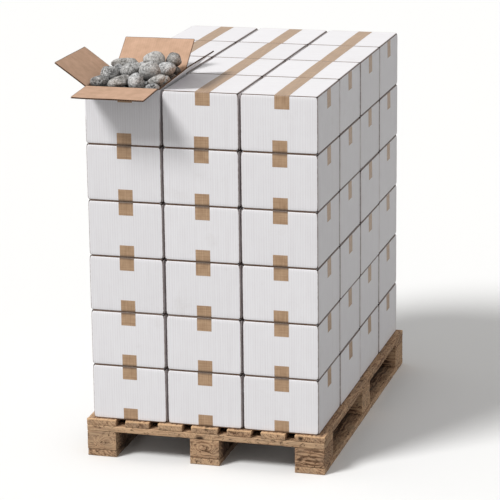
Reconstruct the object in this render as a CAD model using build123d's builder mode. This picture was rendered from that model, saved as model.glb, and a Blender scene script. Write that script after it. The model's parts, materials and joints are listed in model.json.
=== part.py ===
"""A pallet load of taped cartons of stones, with one carton open.

The pallet is a light wooden block pallet: seven deck boards lie along Y on three
cross boards, nine blocks and three skids. On it stand six layers of cartons, three
across and four deep. Each closed carton is one solid that stands for its board and
the stones in it, sealed with a strip of tape along the top seam and another along the
bottom seam. The front left carton of the top layer is open: its four flaps are folded
out, and loose stones are heaped above its rim.

Frame: X across the front, Y from front to back, Z up, origin on the floor under the
middle of the pallet. Lengths are in millimetres and angles in degrees.
"""

from build123d import *
import math
import os

# Pallet
pallet_width = 800.0
pallet_length = 1200.0
outer_board_width = 100.0
middle_board_width = 90.0
inner_board_width = 82.0
deck_thickness = 22.0
cross_board_thickness = 20.0
block_height = 64.0
block_width = 100.0
block_length = 120.0
skid_thickness = 22.0
board_edge_chamfer = 2.0
inner_boards_a_side = 2

# Cartons
carton_width = 247.0
carton_depth = 291.0
carton_height = 182.5
board_thickness = 4.0
fold_radius = 2.5
column_gap = 7.0
row_gap = 3.5
columns = 3
rows = 4
layers = 6

# Tape
tape_width = 48.0
tape_thickness = 0.25
tape_fold_slack = 0.4
tape_offset = 3.0
top_tape_offset = 9.0
top_tab_length = 44.0
bottom_tab_length = 40.0
side_tab_length = 58.0

# Open carton
side_flap_length = 123.0
end_flap_length = 145.0
flap_corner_relief = 5.0
flap_corner_radius = 2.0
hinge_clearance = 0.3
cut_tape_drop = 6.0
flap_angles = {"left": 36.0, "right": 38.0, "front": -3.0, "back": 38.0}

# Stones in the open carton, sized by how many fit across and along it
stones_across = 4.0
stones_along = 4.75
fill_clearance = 0.5
stone_clearance = 0.3

# Top of the hidden stones, in stone sizes above the rim, from front to back
fill_front_height = -0.3
fill_middle_height = 0.1
fill_top_height = 0.5
fill_back_height = 0.0
fill_middle_share = 0.36
fill_top_share = 0.68
fill_shoulder = 0.4

# Each loose stone: its place across and along the carton as shares of the inside, its
# height above the rim, its length, width and height in stone sizes, its turn about Z
# and its tilt about its own Y.
loose_stones = [
    (0.130, 0.148, 0.17, 1.01, 0.87, 0.74, 10, -8),
    (0.393, 0.120, 0.17, 1.11, 0.80, 0.70, 12, -16),
    (0.644, 0.141, 0.22, 0.91, 0.91, 1.00, 0, 0),
    (0.862, 0.286, 0.15, 1.17, 0.67, 0.67, 10, -28),
    (0.164, 0.401, 0.40, 1.11, 0.94, 0.84, -8, 6),
    (0.436, 0.479, 0.57, 1.24, 0.84, 0.80, 14, -24),
    (0.724, 0.428, 0.62, 1.17, 1.07, 1.14, 20, 0),
    (0.858, 0.693, 0.45, 1.07, 1.07, 0.84, 0, -10),
    (0.234, 0.792, 0.67, 1.54, 0.80, 0.64, 4, -4),
    (0.644, 0.800, 0.96, 1.20, 0.94, 0.94, 10, 0),
    (0.880, 0.904, 0.90, 0.93, 0.83, 0.83, 0, 0),
    (0.222, 0.594, 0.42, 0.77, 0.74, 0.67, 20, 0),
    (0.469, 0.919, 0.27, 1.11, 0.64, 0.70, -6, 0),
    (0.130, 0.926, 0.07, 0.84, 0.60, 0.64, 0, 8),
    (0.088, 0.710, 0.03, 0.60, 0.77, 0.70, 0, 0),
    (0.435, 0.290, 0.17, 0.77, 0.64, 0.67, -10, 0),
    (0.925, 0.459, 0.03, 0.50, 0.67, 0.67, 0, 0),
    (0.427, 0.664, 0.34, 0.77, 0.70, 0.74, 0, 0),
    (0.653, 0.604, 0.23, 0.74, 0.67, 0.74, 0, 0),
    (0.703, 0.940, 0.17, 0.77, 0.50, 0.74, 0, 0),
    (0.887, 0.085, -0.03, 0.80, 0.64, 0.60, 0, 0),
    (0.619, 0.311, -0.07, 0.70, 0.67, 0.57, 0, 0),
]

# Worked out from the sizes above
deck_underside = skid_thickness + block_height + cross_board_thickness
deck_top = deck_underside + deck_thickness
column_pitch = carton_width + column_gap
row_pitch = carton_depth + row_gap
layer_pitch = carton_height + 2 * tape_thickness
column_places = [(i - (columns - 1) / 2) * column_pitch for i in range(columns)]
row_places = [(j - (rows - 1) / 2) * row_pitch for j in range(rows)]
block_columns = [-(pallet_width - block_width) / 2, 0.0, (pallet_width - block_width) / 2]
block_rows = [-(pallet_length - block_length) / 2, 0.0, (pallet_length - block_length) / 2]
open_x = column_places[0]
open_y = row_places[0]
inner_width = carton_width - 2 * board_thickness
inner_depth = carton_depth - 2 * board_thickness
stone_size = min(inner_width / stones_across, inner_depth / stones_along)


def layer_floor(layer):
    """Height of the undersides of the cartons in a layer, counted from 1."""
    return deck_top + tape_thickness + (layer - 1) * layer_pitch


def carton_places(layer):
    """Middles of the closed cartons of a layer, at their undersides."""
    return [
        (x, y, layer_floor(layer))
        for y in row_places
        for x in column_places
        if (layer, x, y) != (layers, open_x, open_y)
    ]


open_floor = layer_floor(layers)
rim_height = open_floor + carton_height
open_left = open_x - carton_width / 2
open_right = open_x + carton_width / 2
open_front = open_y - carton_depth / 2
open_back = open_y + carton_depth / 2


def save(part, name):
    part.label = name
    export_step(part, f"parts/{name}.step")


def board(width, length, thickness, underside, x=0.0, y=0.0):
    """A sawn board or block, with its four long edges eased."""
    along = Axis.Y if length >= width else Axis.X
    with BuildPart() as plank:
        with BuildSketch(Plane.XY.offset(underside)):
            with Locations((x, y)):
                Rectangle(width, length)
        extrude(amount=thickness)
        chamfer(plank.edges().filter_by(along), length=board_edge_chamfer)
    return plank.part


def save_pallet():
    outer_x = (pallet_width - outer_board_width) / 2
    inner_span = (pallet_width - middle_board_width) / 2 - outer_board_width
    deck_gap = (inner_span - inner_boards_a_side * inner_board_width) / (inner_boards_a_side + 1)
    first_inner_x = (middle_board_width + inner_board_width) / 2 + deck_gap
    inner_x = [
        first_inner_x + n * (inner_board_width + deck_gap) for n in range(inner_boards_a_side)
    ]
    deck = [(-outer_x, outer_board_width)]
    deck += [(-x, inner_board_width) for x in reversed(inner_x)]
    deck += [(0.0, middle_board_width)]
    deck += [(x, inner_board_width) for x in inner_x]
    deck += [(outer_x, outer_board_width)]
    for number, (x, width) in enumerate(deck, start=1):
        plank = board(width, pallet_length, deck_thickness, deck_underside, x=x)
        save(plank, f"deck_board_{number}")

    blocks_top = skid_thickness + block_height
    for row_name, y in zip(("front", "middle", "back"), block_rows):
        cross = board(pallet_width, block_length, cross_board_thickness, blocks_top, y=y)
        save(cross, f"cross_board_{row_name}")
        for column_name, x in zip(("left", "middle", "right"), block_columns):
            block = board(block_width, block_length, block_height, skid_thickness, x=x, y=y)
            save(block, f"block_{row_name}_{column_name}")
    for column_name, x in zip(("left", "middle", "right"), block_columns):
        skid = board(block_width, pallet_length, skid_thickness, 0.0, x=x)
        save(skid, f"skid_{column_name}")


def copies(piece, places):
    """The same piece standing at each place, as solids that don't touch."""
    with BuildPart() as group:
        with Locations(*places):
            add(piece)
    return group.part


def closed_carton():
    """A filled and sealed carton as one solid, its underside at Z 0."""
    with BuildPart() as carton:
        with BuildSketch():
            Rectangle(carton_width, carton_depth)
        extrude(amount=carton_height)
        fillet(carton.edges(), radius=fold_radius)
    return carton.part


def seam_tape(offset, tab_length, on_top):
    """Tape along the top or bottom seam, with a tab down or up the front and the back."""
    wrapped_height = carton_height + 2 * tape_thickness
    wrapped_depth = carton_depth + 2 * tape_thickness
    inner_radius = fold_radius - tape_fold_slack
    with BuildPart() as tape:
        with BuildSketch(Plane.YZ.offset(offset - tape_width / 2)):
            with Locations((0, carton_height / 2)):
                RectangleRounded(wrapped_depth, wrapped_height, inner_radius + tape_thickness)
                RectangleRounded(carton_depth, carton_height, inner_radius, mode=Mode.SUBTRACT)
            away = -tab_length if on_top else tab_length
            with Locations((0, carton_height / 2 + away)):
                Rectangle(2 * carton_depth, wrapped_height, mode=Mode.SUBTRACT)
        extrude(amount=tape_width)
    return tape.part


def side_tabs():
    """Short pieces of tape at the top of the outer side faces."""
    face_x = column_places[-1] + carton_width / 2
    with BuildPart() as tabs:
        for layer in range(1, layers + 1):
            top = layer_floor(layer) + carton_height - fold_radius
            if layer == layers:
                left_rows = row_places[1:]
            else:
                left_rows = row_places
            middle_z = top - side_tab_length / 2
            places = [(face_x + tape_thickness / 2, y, middle_z) for y in row_places]
            places += [(-face_x - tape_thickness / 2, y, middle_z) for y in left_rows]
            with Locations(*places):
                Box(tape_thickness, tape_width, side_tab_length)
    return tabs.part


def save_stack():
    carton = closed_carton()
    for layer in range(1, layers + 1):
        places = carton_places(layer)
        top_offset = top_tape_offset if layer == layers else tape_offset
        top_tape = seam_tape(top_offset, top_tab_length, on_top=True)
        bottom_tape = seam_tape(tape_offset, bottom_tab_length, on_top=False)
        bottom_places = places
        if layer == layers:
            bottom_places = places + [(open_x, open_y, open_floor)]
        save(copies(carton, places), f"cartons_layer_{layer}")
        save(copies(top_tape, places), f"top_tapes_layer_{layer}")
        save(copies(bottom_tape, bottom_places), f"bottom_tapes_layer_{layer}")
    save(side_tabs(), "side_tape_tabs")


def save_open_carton():
    with BuildPart() as tub:
        with BuildSketch(Plane.XY.offset(open_floor)):
            with Locations((open_x, open_y)):
                Rectangle(carton_width, carton_depth)
        extrude(amount=carton_height)
        fillet(tub.edges().filter_by(Axis.Z), radius=fold_radius)
        fillet(tub.faces().sort_by(Axis.Z)[0].edges(), radius=fold_radius)
        with BuildSketch(Plane.XY.offset(open_floor + board_thickness)):
            with Locations((open_x, open_y)):
                Rectangle(inner_width, inner_depth)
        extrude(amount=carton_height - board_thickness, mode=Mode.SUBTRACT)
    save(tub.part, "open_carton")

    # The cut ends of the top tape still stick to the end walls, and a tab to the side.
    with BuildPart() as cut_tape:
        end_height = top_tab_length - cut_tape_drop
        end_z = rim_height - cut_tape_drop - end_height / 2
        end_x = open_x + top_tape_offset
        with Locations(
            (end_x, open_front - tape_thickness / 2, end_z),
            (end_x, open_back + tape_thickness / 2, end_z),
        ):
            Box(tape_width, tape_thickness, end_height)
        side_height = side_tab_length - cut_tape_drop
        side_z = rim_height - cut_tape_drop - side_height / 2
        with Locations((open_left - tape_thickness / 2, open_y, side_z)):
            Box(tape_thickness, tape_width, side_height)
    save(cut_tape.part, "open_carton_tape_tabs")


def flap(hinge, outward, width, length, angle):
    """A flap whose outer face turns about its fold, angle above level and outward."""
    level = Vector(*outward)
    up = Vector(0, 0, 1)
    along = level * math.cos(math.radians(angle)) + up * math.sin(math.radians(angle))
    inner_normal = up * math.cos(math.radians(angle)) - level * math.sin(math.radians(angle))
    with BuildPart() as panel:
        with BuildSketch(Plane(origin=hinge, x_dir=along, z_dir=inner_normal)):
            with Locations(((length + hinge_clearance) / 2, 0)):
                Rectangle(length - hinge_clearance, width)
        extrude(amount=board_thickness)
        corners = panel.edges().filter_by(Axis((0, 0, 0), tuple(inner_normal)))
        outer_corners = corners.sort_by(Axis(hinge, tuple(along)))[-2:]
        fillet(outer_corners, radius=flap_corner_radius)
    return panel.part


def save_flaps():
    side_width = carton_depth - 2 * flap_corner_relief
    end_width = carton_width - 2 * flap_corner_relief
    fold_lines = {
        "left": ((open_left, open_y, rim_height), (-1, 0, 0), side_width, side_flap_length),
        "right": ((open_right, open_y, rim_height), (1, 0, 0), side_width, side_flap_length),
        "front": ((open_x, open_front, rim_height), (0, -1, 0), end_width, end_flap_length),
        "back": ((open_x, open_back, rim_height), (0, 1, 0), end_width, end_flap_length),
    }
    for side, (hinge, outward, width, length) in fold_lines.items():
        save(flap(hinge, outward, width, length, flap_angles[side]), f"flap_{side}")


def stone(entry, grow=0.0):
    """One loose stone as an ellipsoid in its place, or a larger one to cut its seat."""
    across, along, height, *sizes, turn, tilt = entry
    radii = tuple(size * stone_size / 2 + grow for size in sizes)
    with BuildPart() as pebble:
        Sphere(1)
        scale(by=radii)
    centre = (
        open_left + board_thickness + across * inner_width,
        open_front + board_thickness + along * inner_depth,
        rim_height + height * stone_size,
    )
    return pebble.part.moved(Location(centre, (0, tilt, turn)))


def save_stones():
    """The loose stones on top, and the hidden ones as one block with seats for them."""
    with BuildPart() as loose:
        for entry in loose_stones:
            add(stone(entry))
    save(loose.part, "loose_stones")

    inset = board_thickness + fill_clearance
    near, far = open_front + inset, open_back - inset
    bottom = open_floor + board_thickness
    depth = far - near
    top = rim_height + fill_top_height * stone_size
    shoulder = fill_shoulder * stone_size
    profile = [
        (near, bottom),
        (near, rim_height + fill_front_height * stone_size),
        (near + fill_middle_share * depth, rim_height + fill_middle_height * stone_size),
        (near + fill_top_share * depth, top),
        (far - shoulder, top),
        (far, rim_height + fill_back_height * stone_size),
        (far, bottom),
    ]
    with BuildPart() as fill:
        with BuildSketch(Plane.YZ.offset(open_left + inset)):
            with BuildLine():
                Polyline(*profile, close=True)
            make_face()
        extrude(amount=carton_width - 2 * inset)
        level_top = fill.faces().sort_by(Axis.Z)[-1]
        chamfer(level_top.edges().filter_by(Axis.Y), length=shoulder)
        for entry in loose_stones:
            add(stone(entry, grow=stone_clearance), mode=Mode.SUBTRACT)
    save(fill.part, "stone_fill")


os.makedirs("parts", exist_ok=True)
save_pallet()
save_stack()
save_open_carton()
save_flaps()
save_stones()
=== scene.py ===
import json
import math
import random
from functools import partial
from itertools import product

import bmesh
import bpy
import numpy as np
from mathutils import Matrix, Vector, noise


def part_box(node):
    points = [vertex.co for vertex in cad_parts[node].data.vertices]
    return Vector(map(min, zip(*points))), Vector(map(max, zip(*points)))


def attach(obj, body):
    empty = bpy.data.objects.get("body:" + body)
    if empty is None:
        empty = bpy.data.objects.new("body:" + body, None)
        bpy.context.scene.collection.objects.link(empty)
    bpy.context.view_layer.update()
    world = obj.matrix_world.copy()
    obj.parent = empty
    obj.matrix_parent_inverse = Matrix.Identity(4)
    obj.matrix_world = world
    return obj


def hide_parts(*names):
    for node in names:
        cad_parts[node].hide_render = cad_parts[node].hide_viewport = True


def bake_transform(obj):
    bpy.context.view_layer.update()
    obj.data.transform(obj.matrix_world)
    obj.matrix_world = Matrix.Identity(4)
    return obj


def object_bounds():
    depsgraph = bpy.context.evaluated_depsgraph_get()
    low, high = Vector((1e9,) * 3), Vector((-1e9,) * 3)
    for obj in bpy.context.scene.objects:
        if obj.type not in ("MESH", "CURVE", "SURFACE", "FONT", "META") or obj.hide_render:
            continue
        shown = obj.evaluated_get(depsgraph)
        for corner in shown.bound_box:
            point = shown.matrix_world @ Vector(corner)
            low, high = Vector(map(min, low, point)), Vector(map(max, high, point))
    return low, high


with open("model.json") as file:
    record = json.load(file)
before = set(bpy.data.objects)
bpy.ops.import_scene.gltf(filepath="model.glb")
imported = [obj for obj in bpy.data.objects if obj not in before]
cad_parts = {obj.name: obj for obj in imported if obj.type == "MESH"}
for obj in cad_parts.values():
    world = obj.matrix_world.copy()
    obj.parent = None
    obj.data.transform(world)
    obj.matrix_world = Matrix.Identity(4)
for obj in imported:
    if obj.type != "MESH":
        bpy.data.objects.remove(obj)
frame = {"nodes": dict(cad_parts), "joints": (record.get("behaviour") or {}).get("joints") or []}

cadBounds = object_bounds()
mm = 0.001
usualIor = 1.5         # board, paper, wood, paint and stone are all close to this


# ---- small helpers, used by every piece below

def hexColour(code):
    # sRGB hex to the linear values that Blender works in
    parts = [int(code[i:i + 2], 16) / 255 for i in (1, 3, 5)]
    linear = [p / 12.92 if p <= 0.04045 else ((p + 0.055) / 1.055) ** 2.4 for p in parts]
    return (*linear, 1.0)


def connect(node, links):
    # links are input: output socket, and a node stands for the first output it has in use
    for key, source in links.items():
        if isinstance(source, bpy.types.Node):
            source = next(socket for socket in source.outputs if socket.enabled)
        node.id_data.links.new(source, node.inputs[key])


def setRamp(node, colours):
    # colours are (position, hex), the lowest first
    elements = node.color_ramp.elements
    elements[0].position, elements[1].position = colours[0][0], colours[-1][0]
    for position, _ in colours[1:-1]:
        elements.new(position)
    for element, (_, code) in zip(elements, colours):
        element.color = hexColour(code)


def addNode(tree, kind, settings=None, links=None):
    # settings are properties or input values, with colours as hex
    node = tree.nodes.new("ShaderNode" + kind)
    for key, value in (settings or {}).items():
        if key == "ramp":
            setRamp(node, value)
        elif isinstance(key, str) and hasattr(node, key):
            setattr(node, key, value)
        else:
            isHex = isinstance(value, str) and value.startswith("#")
            node.inputs[key].default_value = hexColour(value) if isHex else value
    connect(node, links or {})
    return node


def startMaterial(name, roughness, specular=0.5):
    # a new material, what adds nodes to it, and its shader
    material = bpy.data.materials.new(name)
    material.use_nodes = True
    shader = material.node_tree.nodes["Principled BSDF"]
    shader.inputs["Roughness"].default_value = roughness
    shader.inputs["IOR"].default_value = usualIor
    shader.inputs["Specular IOR Level"].default_value = specular
    return material, partial(addNode, material.node_tree), shader


def readMarks(add):
    # the numbers a piece's points carry: what each is for is said where the piece is made
    marks = add("Attribute", {"attribute_name": "marks"})
    return add("SeparateXYZ", links={"Vector": marks.outputs["Vector"]})


def newParts():
    # what a piece is put together from: points, four-cornered faces, their map and finish
    return {"points": [], "faces": [], "map": [], "finish": [], "marks": [], "count": 0}


def addPart(parts, points, faces, cornerMap=None, finish=0, marks=None):
    points, faces = np.asarray(points, float), np.asarray(faces, int)
    parts["points"].append(points)
    parts["faces"].append(faces + parts["count"])
    if cornerMap is None:
        cornerMap = np.zeros((len(faces), faces.shape[1], 2))
    parts["map"].append(np.asarray(cornerMap, float).reshape(-1, 2))
    parts["finish"].append(np.broadcast_to(np.asarray(finish, int), len(faces)))
    if marks is None:
        marks = np.zeros((len(points), 3))
    parts["marks"].append(np.asarray(marks, float))
    parts["count"] += len(points)


def makePiece(name, parts, materials, body, replaces=(), sharpAngle=35.0):
    mesh = bpy.data.meshes.new(name)
    faces = [face for group in parts["faces"] for face in group.tolist()]
    inside = np.clip(np.concatenate(parts["points"]), *cadBounds)      # nothing stands out of the frame
    mesh.from_pydata(inside.tolist(), [], faces)
    layer = mesh.uv_layers.new(name="boardMap")
    layer.data.foreach_set("uv", np.concatenate(parts["map"]).ravel())
    attribute = mesh.attributes.new("marks", "FLOAT_VECTOR", "POINT")
    attribute.data.foreach_set("vector", np.concatenate(parts["marks"]).ravel())
    for material in materials:
        mesh.materials.append(material)
    mesh.polygons.foreach_set("material_index", np.concatenate(parts["finish"]))
    mesh.polygons.foreach_set("use_smooth", [True] * len(mesh.polygons))
    mesh.set_sharp_from_angle(angle=math.radians(sharpAngle))
    mesh.validate()
    piece = bpy.data.objects.new(name, mesh)
    bpy.context.scene.collection.objects.link(piece)
    if body:
        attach(piece, body)
    if replaces:
        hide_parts(*replaces)
    return piece


def stops(half, fromEdge, inner):
    # places along one side of a block: some near both edges, the rest spread between
    near = sorted(fromEdge)
    middle = np.linspace(-half + near[-1], half - near[-1], inner + 2)[1:-1]
    return np.array([-half + e for e in near] + list(middle) + [half - e for e in reversed(near)])


def blockGrid(xs, ys, zs):
    # the skin of a block as a grid: points, faces, a map with lines running up or across
    stopsOf = (xs, ys, zs)
    known, points, faces, maps, sides = {}, [], [], [], []

    def pointAt(index):
        if index not in known:
            known[index] = len(points)
            points.append([stopsOf[a][index[a]] for a in range(3)])
        return known[index]

    for axis in range(3):
        a, b = [k for k in range(3) if k != axis]
        for side in (0, len(stopsOf[axis]) - 1):
            for i in range(len(stopsOf[a]) - 1):
                for j in range(len(stopsOf[b]) - 1):
                    ring = []
                    for di, dj in ((0, 0), (1, 0), (1, 1), (0, 1)):
                        index = [0, 0, 0]
                        index[axis], index[a], index[b] = side, i + di, j + dj
                        ring.append(tuple(index))
                    if (side == 0) != (axis == 1):
                        ring.reverse()
                    corners = [pointAt(index) for index in ring]
                    faces.append(corners)
                    across, along = {0: (1, 2), 1: (0, 2), 2: (1, 0)}[axis]
                    maps.append([(points[c][across], points[c][along]) for c in corners])
                    sides.append((axis, 0 if side == 0 else 1))
    return np.array(points), np.array(faces), np.array(maps), np.array(sides)


def slab(outer, inner):
    # a closed sheet between two grids of points, each rows x columns x 3
    rows, cols = outer.shape[:2]
    points = np.concatenate([outer.reshape(-1, 3), inner.reshape(-1, 3)])
    back = rows * cols
    faces, finish = [], []
    for i in range(rows - 1):
        for j in range(cols - 1):
            a, b, c, d = i * cols + j, i * cols + j + 1, (i + 1) * cols + j + 1, (i + 1) * cols + j
            faces += [(a, b, c, d), (back + d, back + c, back + b, back + a)]
            finish += [0, 1]
    rim = [(i * cols, (i + 1) * cols) for i in range(rows - 1)]
    rim += [((rows - 1) * cols + j, (rows - 1) * cols + j + 1) for j in range(cols - 1)]
    rim += [((i + 1) * cols + cols - 1, i * cols + cols - 1) for i in range(rows - 1)]
    rim += [(j + 1, j) for j in range(cols - 1)]
    for a, b in rim:
        faces.append((a, b, back + b, back + a))
        finish.append(2)
    return points, np.array(faces), np.array(finish)


# ---- camera, floor and light

cameraSettings = {
    "place": (2.078, -7.430, 2.642),    # metres from the middle of the pallet's underside
    "turn": 15.68,                      # degrees to the left of straight along the pallet
    "down": 15.08,
    "roll": -0.68,
    "lens": 168.7,
}
lightSettings = {
    "travel": (0.4425, 0.5273, -0.7254),    # the way the main light goes
    "strength": 2.74,
    "softness": 18.0,                       # degrees across
    "sky": "#FFFEFD",
    "overhead": 0.40,
    "horizon": 0.78,
    "fromBelow": 0.215,                     # what little a pale floor throws back
    "horizonBlend": -0.06,                  # how far under the horizon the sky gives way to it
    "floorPaint": "#F0F0EF",
    "floorSide": 60.0,
}


def makeCamera():
    turn, down, roll = (math.radians(cameraSettings[k]) for k in ("turn", "down", "roll"))
    level = math.cos(down)
    forward = Vector((-math.sin(turn) * level, math.cos(turn) * level, -math.sin(down)))
    right = Vector((math.cos(turn), math.sin(turn), 0))
    up = right.cross(forward)
    tilted = right * math.cos(roll) + up * math.sin(roll)
    raised = up * math.cos(roll) - right * math.sin(roll)
    data = bpy.data.cameras.new("viewCamera")
    data.lens = cameraSettings["lens"]
    data.sensor_width = 36.0
    data.clip_start, data.clip_end = 0.1, 200.0
    camera = bpy.data.objects.new("viewCamera", data)
    turned = Matrix((tilted, raised, -forward)).transposed()
    camera.matrix_world = Matrix.Translation(cameraSettings["place"]) @ turned.to_4x4()
    bpy.context.scene.collection.objects.link(camera)
    bpy.context.scene.camera = camera
    print("camera in place")


def makeStudio():
    half = lightSettings["floorSide"] / 2
    mesh = bpy.data.meshes.new("studioFloor")
    corners = [(-half, -half, 0), (half, -half, 0), (half, half, 0), (-half, half, 0)]
    mesh.from_pydata(corners, [], [(0, 1, 2, 3)])
    floor = bpy.data.objects.new("studioFloor", mesh)
    bpy.context.scene.collection.objects.link(floor)
    # painted studio floor, matt and nearly white
    paint, _, shader = startMaterial("whiteStudioPaint", 0.9, 0.1)
    shader.inputs["Base Color"].default_value = hexColour(lightSettings["floorPaint"])
    mesh.materials.append(paint)
    floor.visible_diffuse = False       # the sky's lower half stands for its bounce

    lamp = bpy.data.lights.new("mainLight", "SUN")
    lamp.energy = lightSettings["strength"]
    lamp.angle = math.radians(lightSettings["softness"])
    light = bpy.data.objects.new("mainLight", lamp)
    light.rotation_mode = "QUATERNION"
    light.rotation_quaternion = Vector(lightSettings["travel"]).to_track_quat("-Z", "Y")
    bpy.context.scene.collection.objects.link(light)

    world = bpy.data.worlds.new("softSky")
    world.use_nodes = True
    sky = world.node_tree.nodes["Background"]
    sky.inputs["Color"].default_value = hexColour(lightSettings["sky"])
    add = partial(addNode, world.node_tree)
    way = add("TexCoord").outputs["Generated"]
    height = add("SeparateXYZ", links={"Vector": way}).outputs["Z"]
    above = add("MapRange", {"To Min": lightSettings["horizon"], "To Max": lightSettings["overhead"]},
                {"Value": height})
    glow = add("MapRange", {"From Min": lightSettings["horizonBlend"], "From Max": 0.0,
                            "To Min": lightSettings["fromBelow"]}, {"Value": height, "To Max": above})
    connect(sky, {"Strength": glow})
    bpy.context.scene.world = world
    bpy.context.scene.view_settings.view_transform = "Standard"
    print("floor and light in place")


makeCamera()
makeStudio()


# ---- sizes read from the frame

openLow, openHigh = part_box("open_carton")
cartonSize = np.array(openHigh - openLow)
cartonHalf = cartonSize / 2
layerLow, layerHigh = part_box("cartons_layer_1")
columnPitch = (layerHigh.x - layerLow.x - cartonSize[0]) / 2
rowPitch = (layerHigh.y - layerLow.y - cartonSize[1]) / 3
columnPlaces = [-columnPitch, 0.0, columnPitch]
rowPlaces = [(row - 1.5) * rowPitch for row in range(4)]
layerCount = 6
openMiddle = (np.array(openLow) + np.array(openHigh)) / 2
tapeLow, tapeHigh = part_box("top_tapes_layer_1")
tapeWidth = tapeHigh.x - tapeLow.x - 2 * columnPitch


# ---- white corrugated cartons

carton = {
    "board": 4.0 * mm,
    "uprightFold": 2.5 * mm,      # corner folds, scored and sharp
    "flapFold": 4.2 * mm,         # folds of the outer flaps, rounder
    "flapEdge": 2.2 * mm,         # outer flaps' cut edges, crushed a little by the load
    "cutEdgeInset": 1.1 * mm,
    "cornerOpening": 6.8 * mm,    # a small hole where the flaps do not quite meet at a corner, dented in and painted near black as its shade
    "cornerDepth": 5.0 * mm,
    "foldGroove": 2.2 * mm,
    "panelBulge": 1.1 * mm,
    "nudge": 1.3 * mm,            # how far a carton stands from its exact place
    "topBulge": 1.2 * mm,
    "fluteStep": 7.9 * mm,        # C flute
    "gapShade": 0.75,              # painted shade: how brown the sides are drawn where cartons face each other, in the gaps
    "white": "#EFEEF0",
    "fluteShade": "#E2DFE1",
    "scuff": "#C4BDB7",
    "crackedFold": "#5C4537",
    # dirt and painted shade along the carton edges, in the gaps and at the joints
    "edgeDirtAndShade": "#8C6C5A",
    # painted shade of the corner holes and of the upright edges where four cartons meet
    "cornerHoleShade": "#1D1410",
    "kraft": "#C9A58C",
    "kraftDark": "#B4937A",
    "kraftEdge": "#4E392C",
    "fluting": "#86664C",
    "flutingDark": "#5E4533",
    "fluteHoleShade": "#281B14",
}


def fluteTurns(add):
    # the board's map, and how far round its waves each place is
    board = add("UVMap", {"uv_map": "boardMap"})
    split = add("SeparateXYZ", links={"Vector": board})
    step = 2 * math.pi / carton["fluteStep"]
    return board, add("Math", {"operation": "MULTIPLY", 1: step}, {0: split.outputs["X"]})


def makeWhiteLiner():
    # clay-coated white liner over C flute: faint lines where the flutes show, brown where folds wear, and
    # painted shade in corner holes, joints and the gaps between cartons
    material, add, shader = startMaterial("whiteCoatedLiner", 0.62)
    board, turns = fluteTurns(add)
    place = add("TexCoord").outputs["Object"]
    wander = add("TexNoise", {"Scale": 9.0, "Detail": 2.0}, {"Vector": place})
    drift = add("Math", {"operation": "MULTIPLY_ADD", 1: 1.6}, {0: wander, 2: turns})
    wave = add("Math", {"operation": "SINE"}, {0: drift})
    ridges = add("MapRange", {"From Min": -1.0, "From Max": 1.0}, {"Value": wave})
    patches = add("TexNoise", {"Scale": 26.0, "Detail": 4.0, "Roughness": 0.6}, {"Vector": place})
    drawn = add("Mapping", {"Scale": (150.0, 5.0, 1.0)}, {"Vector": board})
    streaks = add("TexNoise", {"Scale": 1.0, "Detail": 4.0, "Roughness": 0.7}, {"Vector": drawn})
    lines = add("Math", {"operation": "MULTIPLY"}, {0: ridges, 1: patches})
    lineStrength = add("Math", {"operation": "MULTIPLY_ADD", 1: 0.55}, {0: lines, 2: streaks})
    lineMask = add("MapRange", {"From Min": 0.35, "From Max": 1.1}, {"Value": lineStrength})
    lined = add("Mix", {"data_type": "RGBA", 6: carton["white"], 7: carton["fluteShade"]}, {0: lineMask})
    # handling scuffs: a few soft grey patches
    scuffNoise = add("TexNoise", {"Scale": 7.0, "Detail": 6.0, "Roughness": 0.7}, {"Vector": place})
    scuffMask = add("MapRange", {"From Min": 0.6, "From Max": 0.8, "To Max": 0.22}, {"Value": scuffNoise})
    scuffed = add("Mix", {"data_type": "RGBA", 7: carton["scuff"]}, {0: scuffMask, 6: lined})
    fold = readMarks(add)       # as foldMarks gives them
    # dirt along the outer edges, and painted shade in the gaps between cartons and along the joints
    darkening = add("Math", {"operation": "MULTIPLY"}, {0: fold.outputs["Z"], 1: patches})
    darkened = add("Mix", {"data_type": "RGBA", 7: carton["edgeDirtAndShade"]}, {0: darkening, 6: scuffed})
    chips = add("TexNoise", {"Scale": 120.0, "Detail": 5.0, "Roughness": 0.6}, {"Vector": place})
    crack = add("Math", {"operation": "MULTIPLY_ADD", 1: 0.5}, {0: chips, 2: fold.outputs["X"]})
    crackedAndShaded = add("MapRange", {"From Min": 0.5, "From Max": 0.82, "To Max": 0.9}, {"Value": crack})
    wornColour = add("Mix", {"data_type": "RGBA", 7: carton["crackedFold"]}, {0: crackedAndShaded, 6: darkened})
    # painted shade: corner holes and the upright edges where four cartons meet are drawn near black
    cornerShade = add("MapRange", {"From Min": 0.98, "From Max": 1.12}, {"Value": fold.outputs["X"]})
    holed = add("Mix", {"data_type": "RGBA", 7: carton["cornerHoleShade"]}, {0: cornerShade, 6: wornColour})
    shade = add("MapRange", {"To Min": 0.965, "To Max": 1.0}, {"Value": fold.outputs["Y"]})
    ownShade = add("HueSaturation", links={"Value": shade, "Color": holed})
    connect(shader, {"Base Color": ownShade})
    fibres = add("TexNoise", {"Scale": 900.0, "Detail": 3.0}, {"Vector": place})
    fine = add("Bump", {"Strength": 0.05, "Distance": 0.3 * mm}, {"Height": fibres})
    fluted = add("Bump", {"Strength": 0.5, "Distance": 0.07 * mm}, {"Height": ridges, "Normal": fine})
    connect(shader, {"Normal": fluted})
    rough = add("MapRange", {"To Min": 0.5, "To Max": 0.72}, {"Value": patches})
    connect(shader, {"Roughness": rough})
    return material


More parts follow.
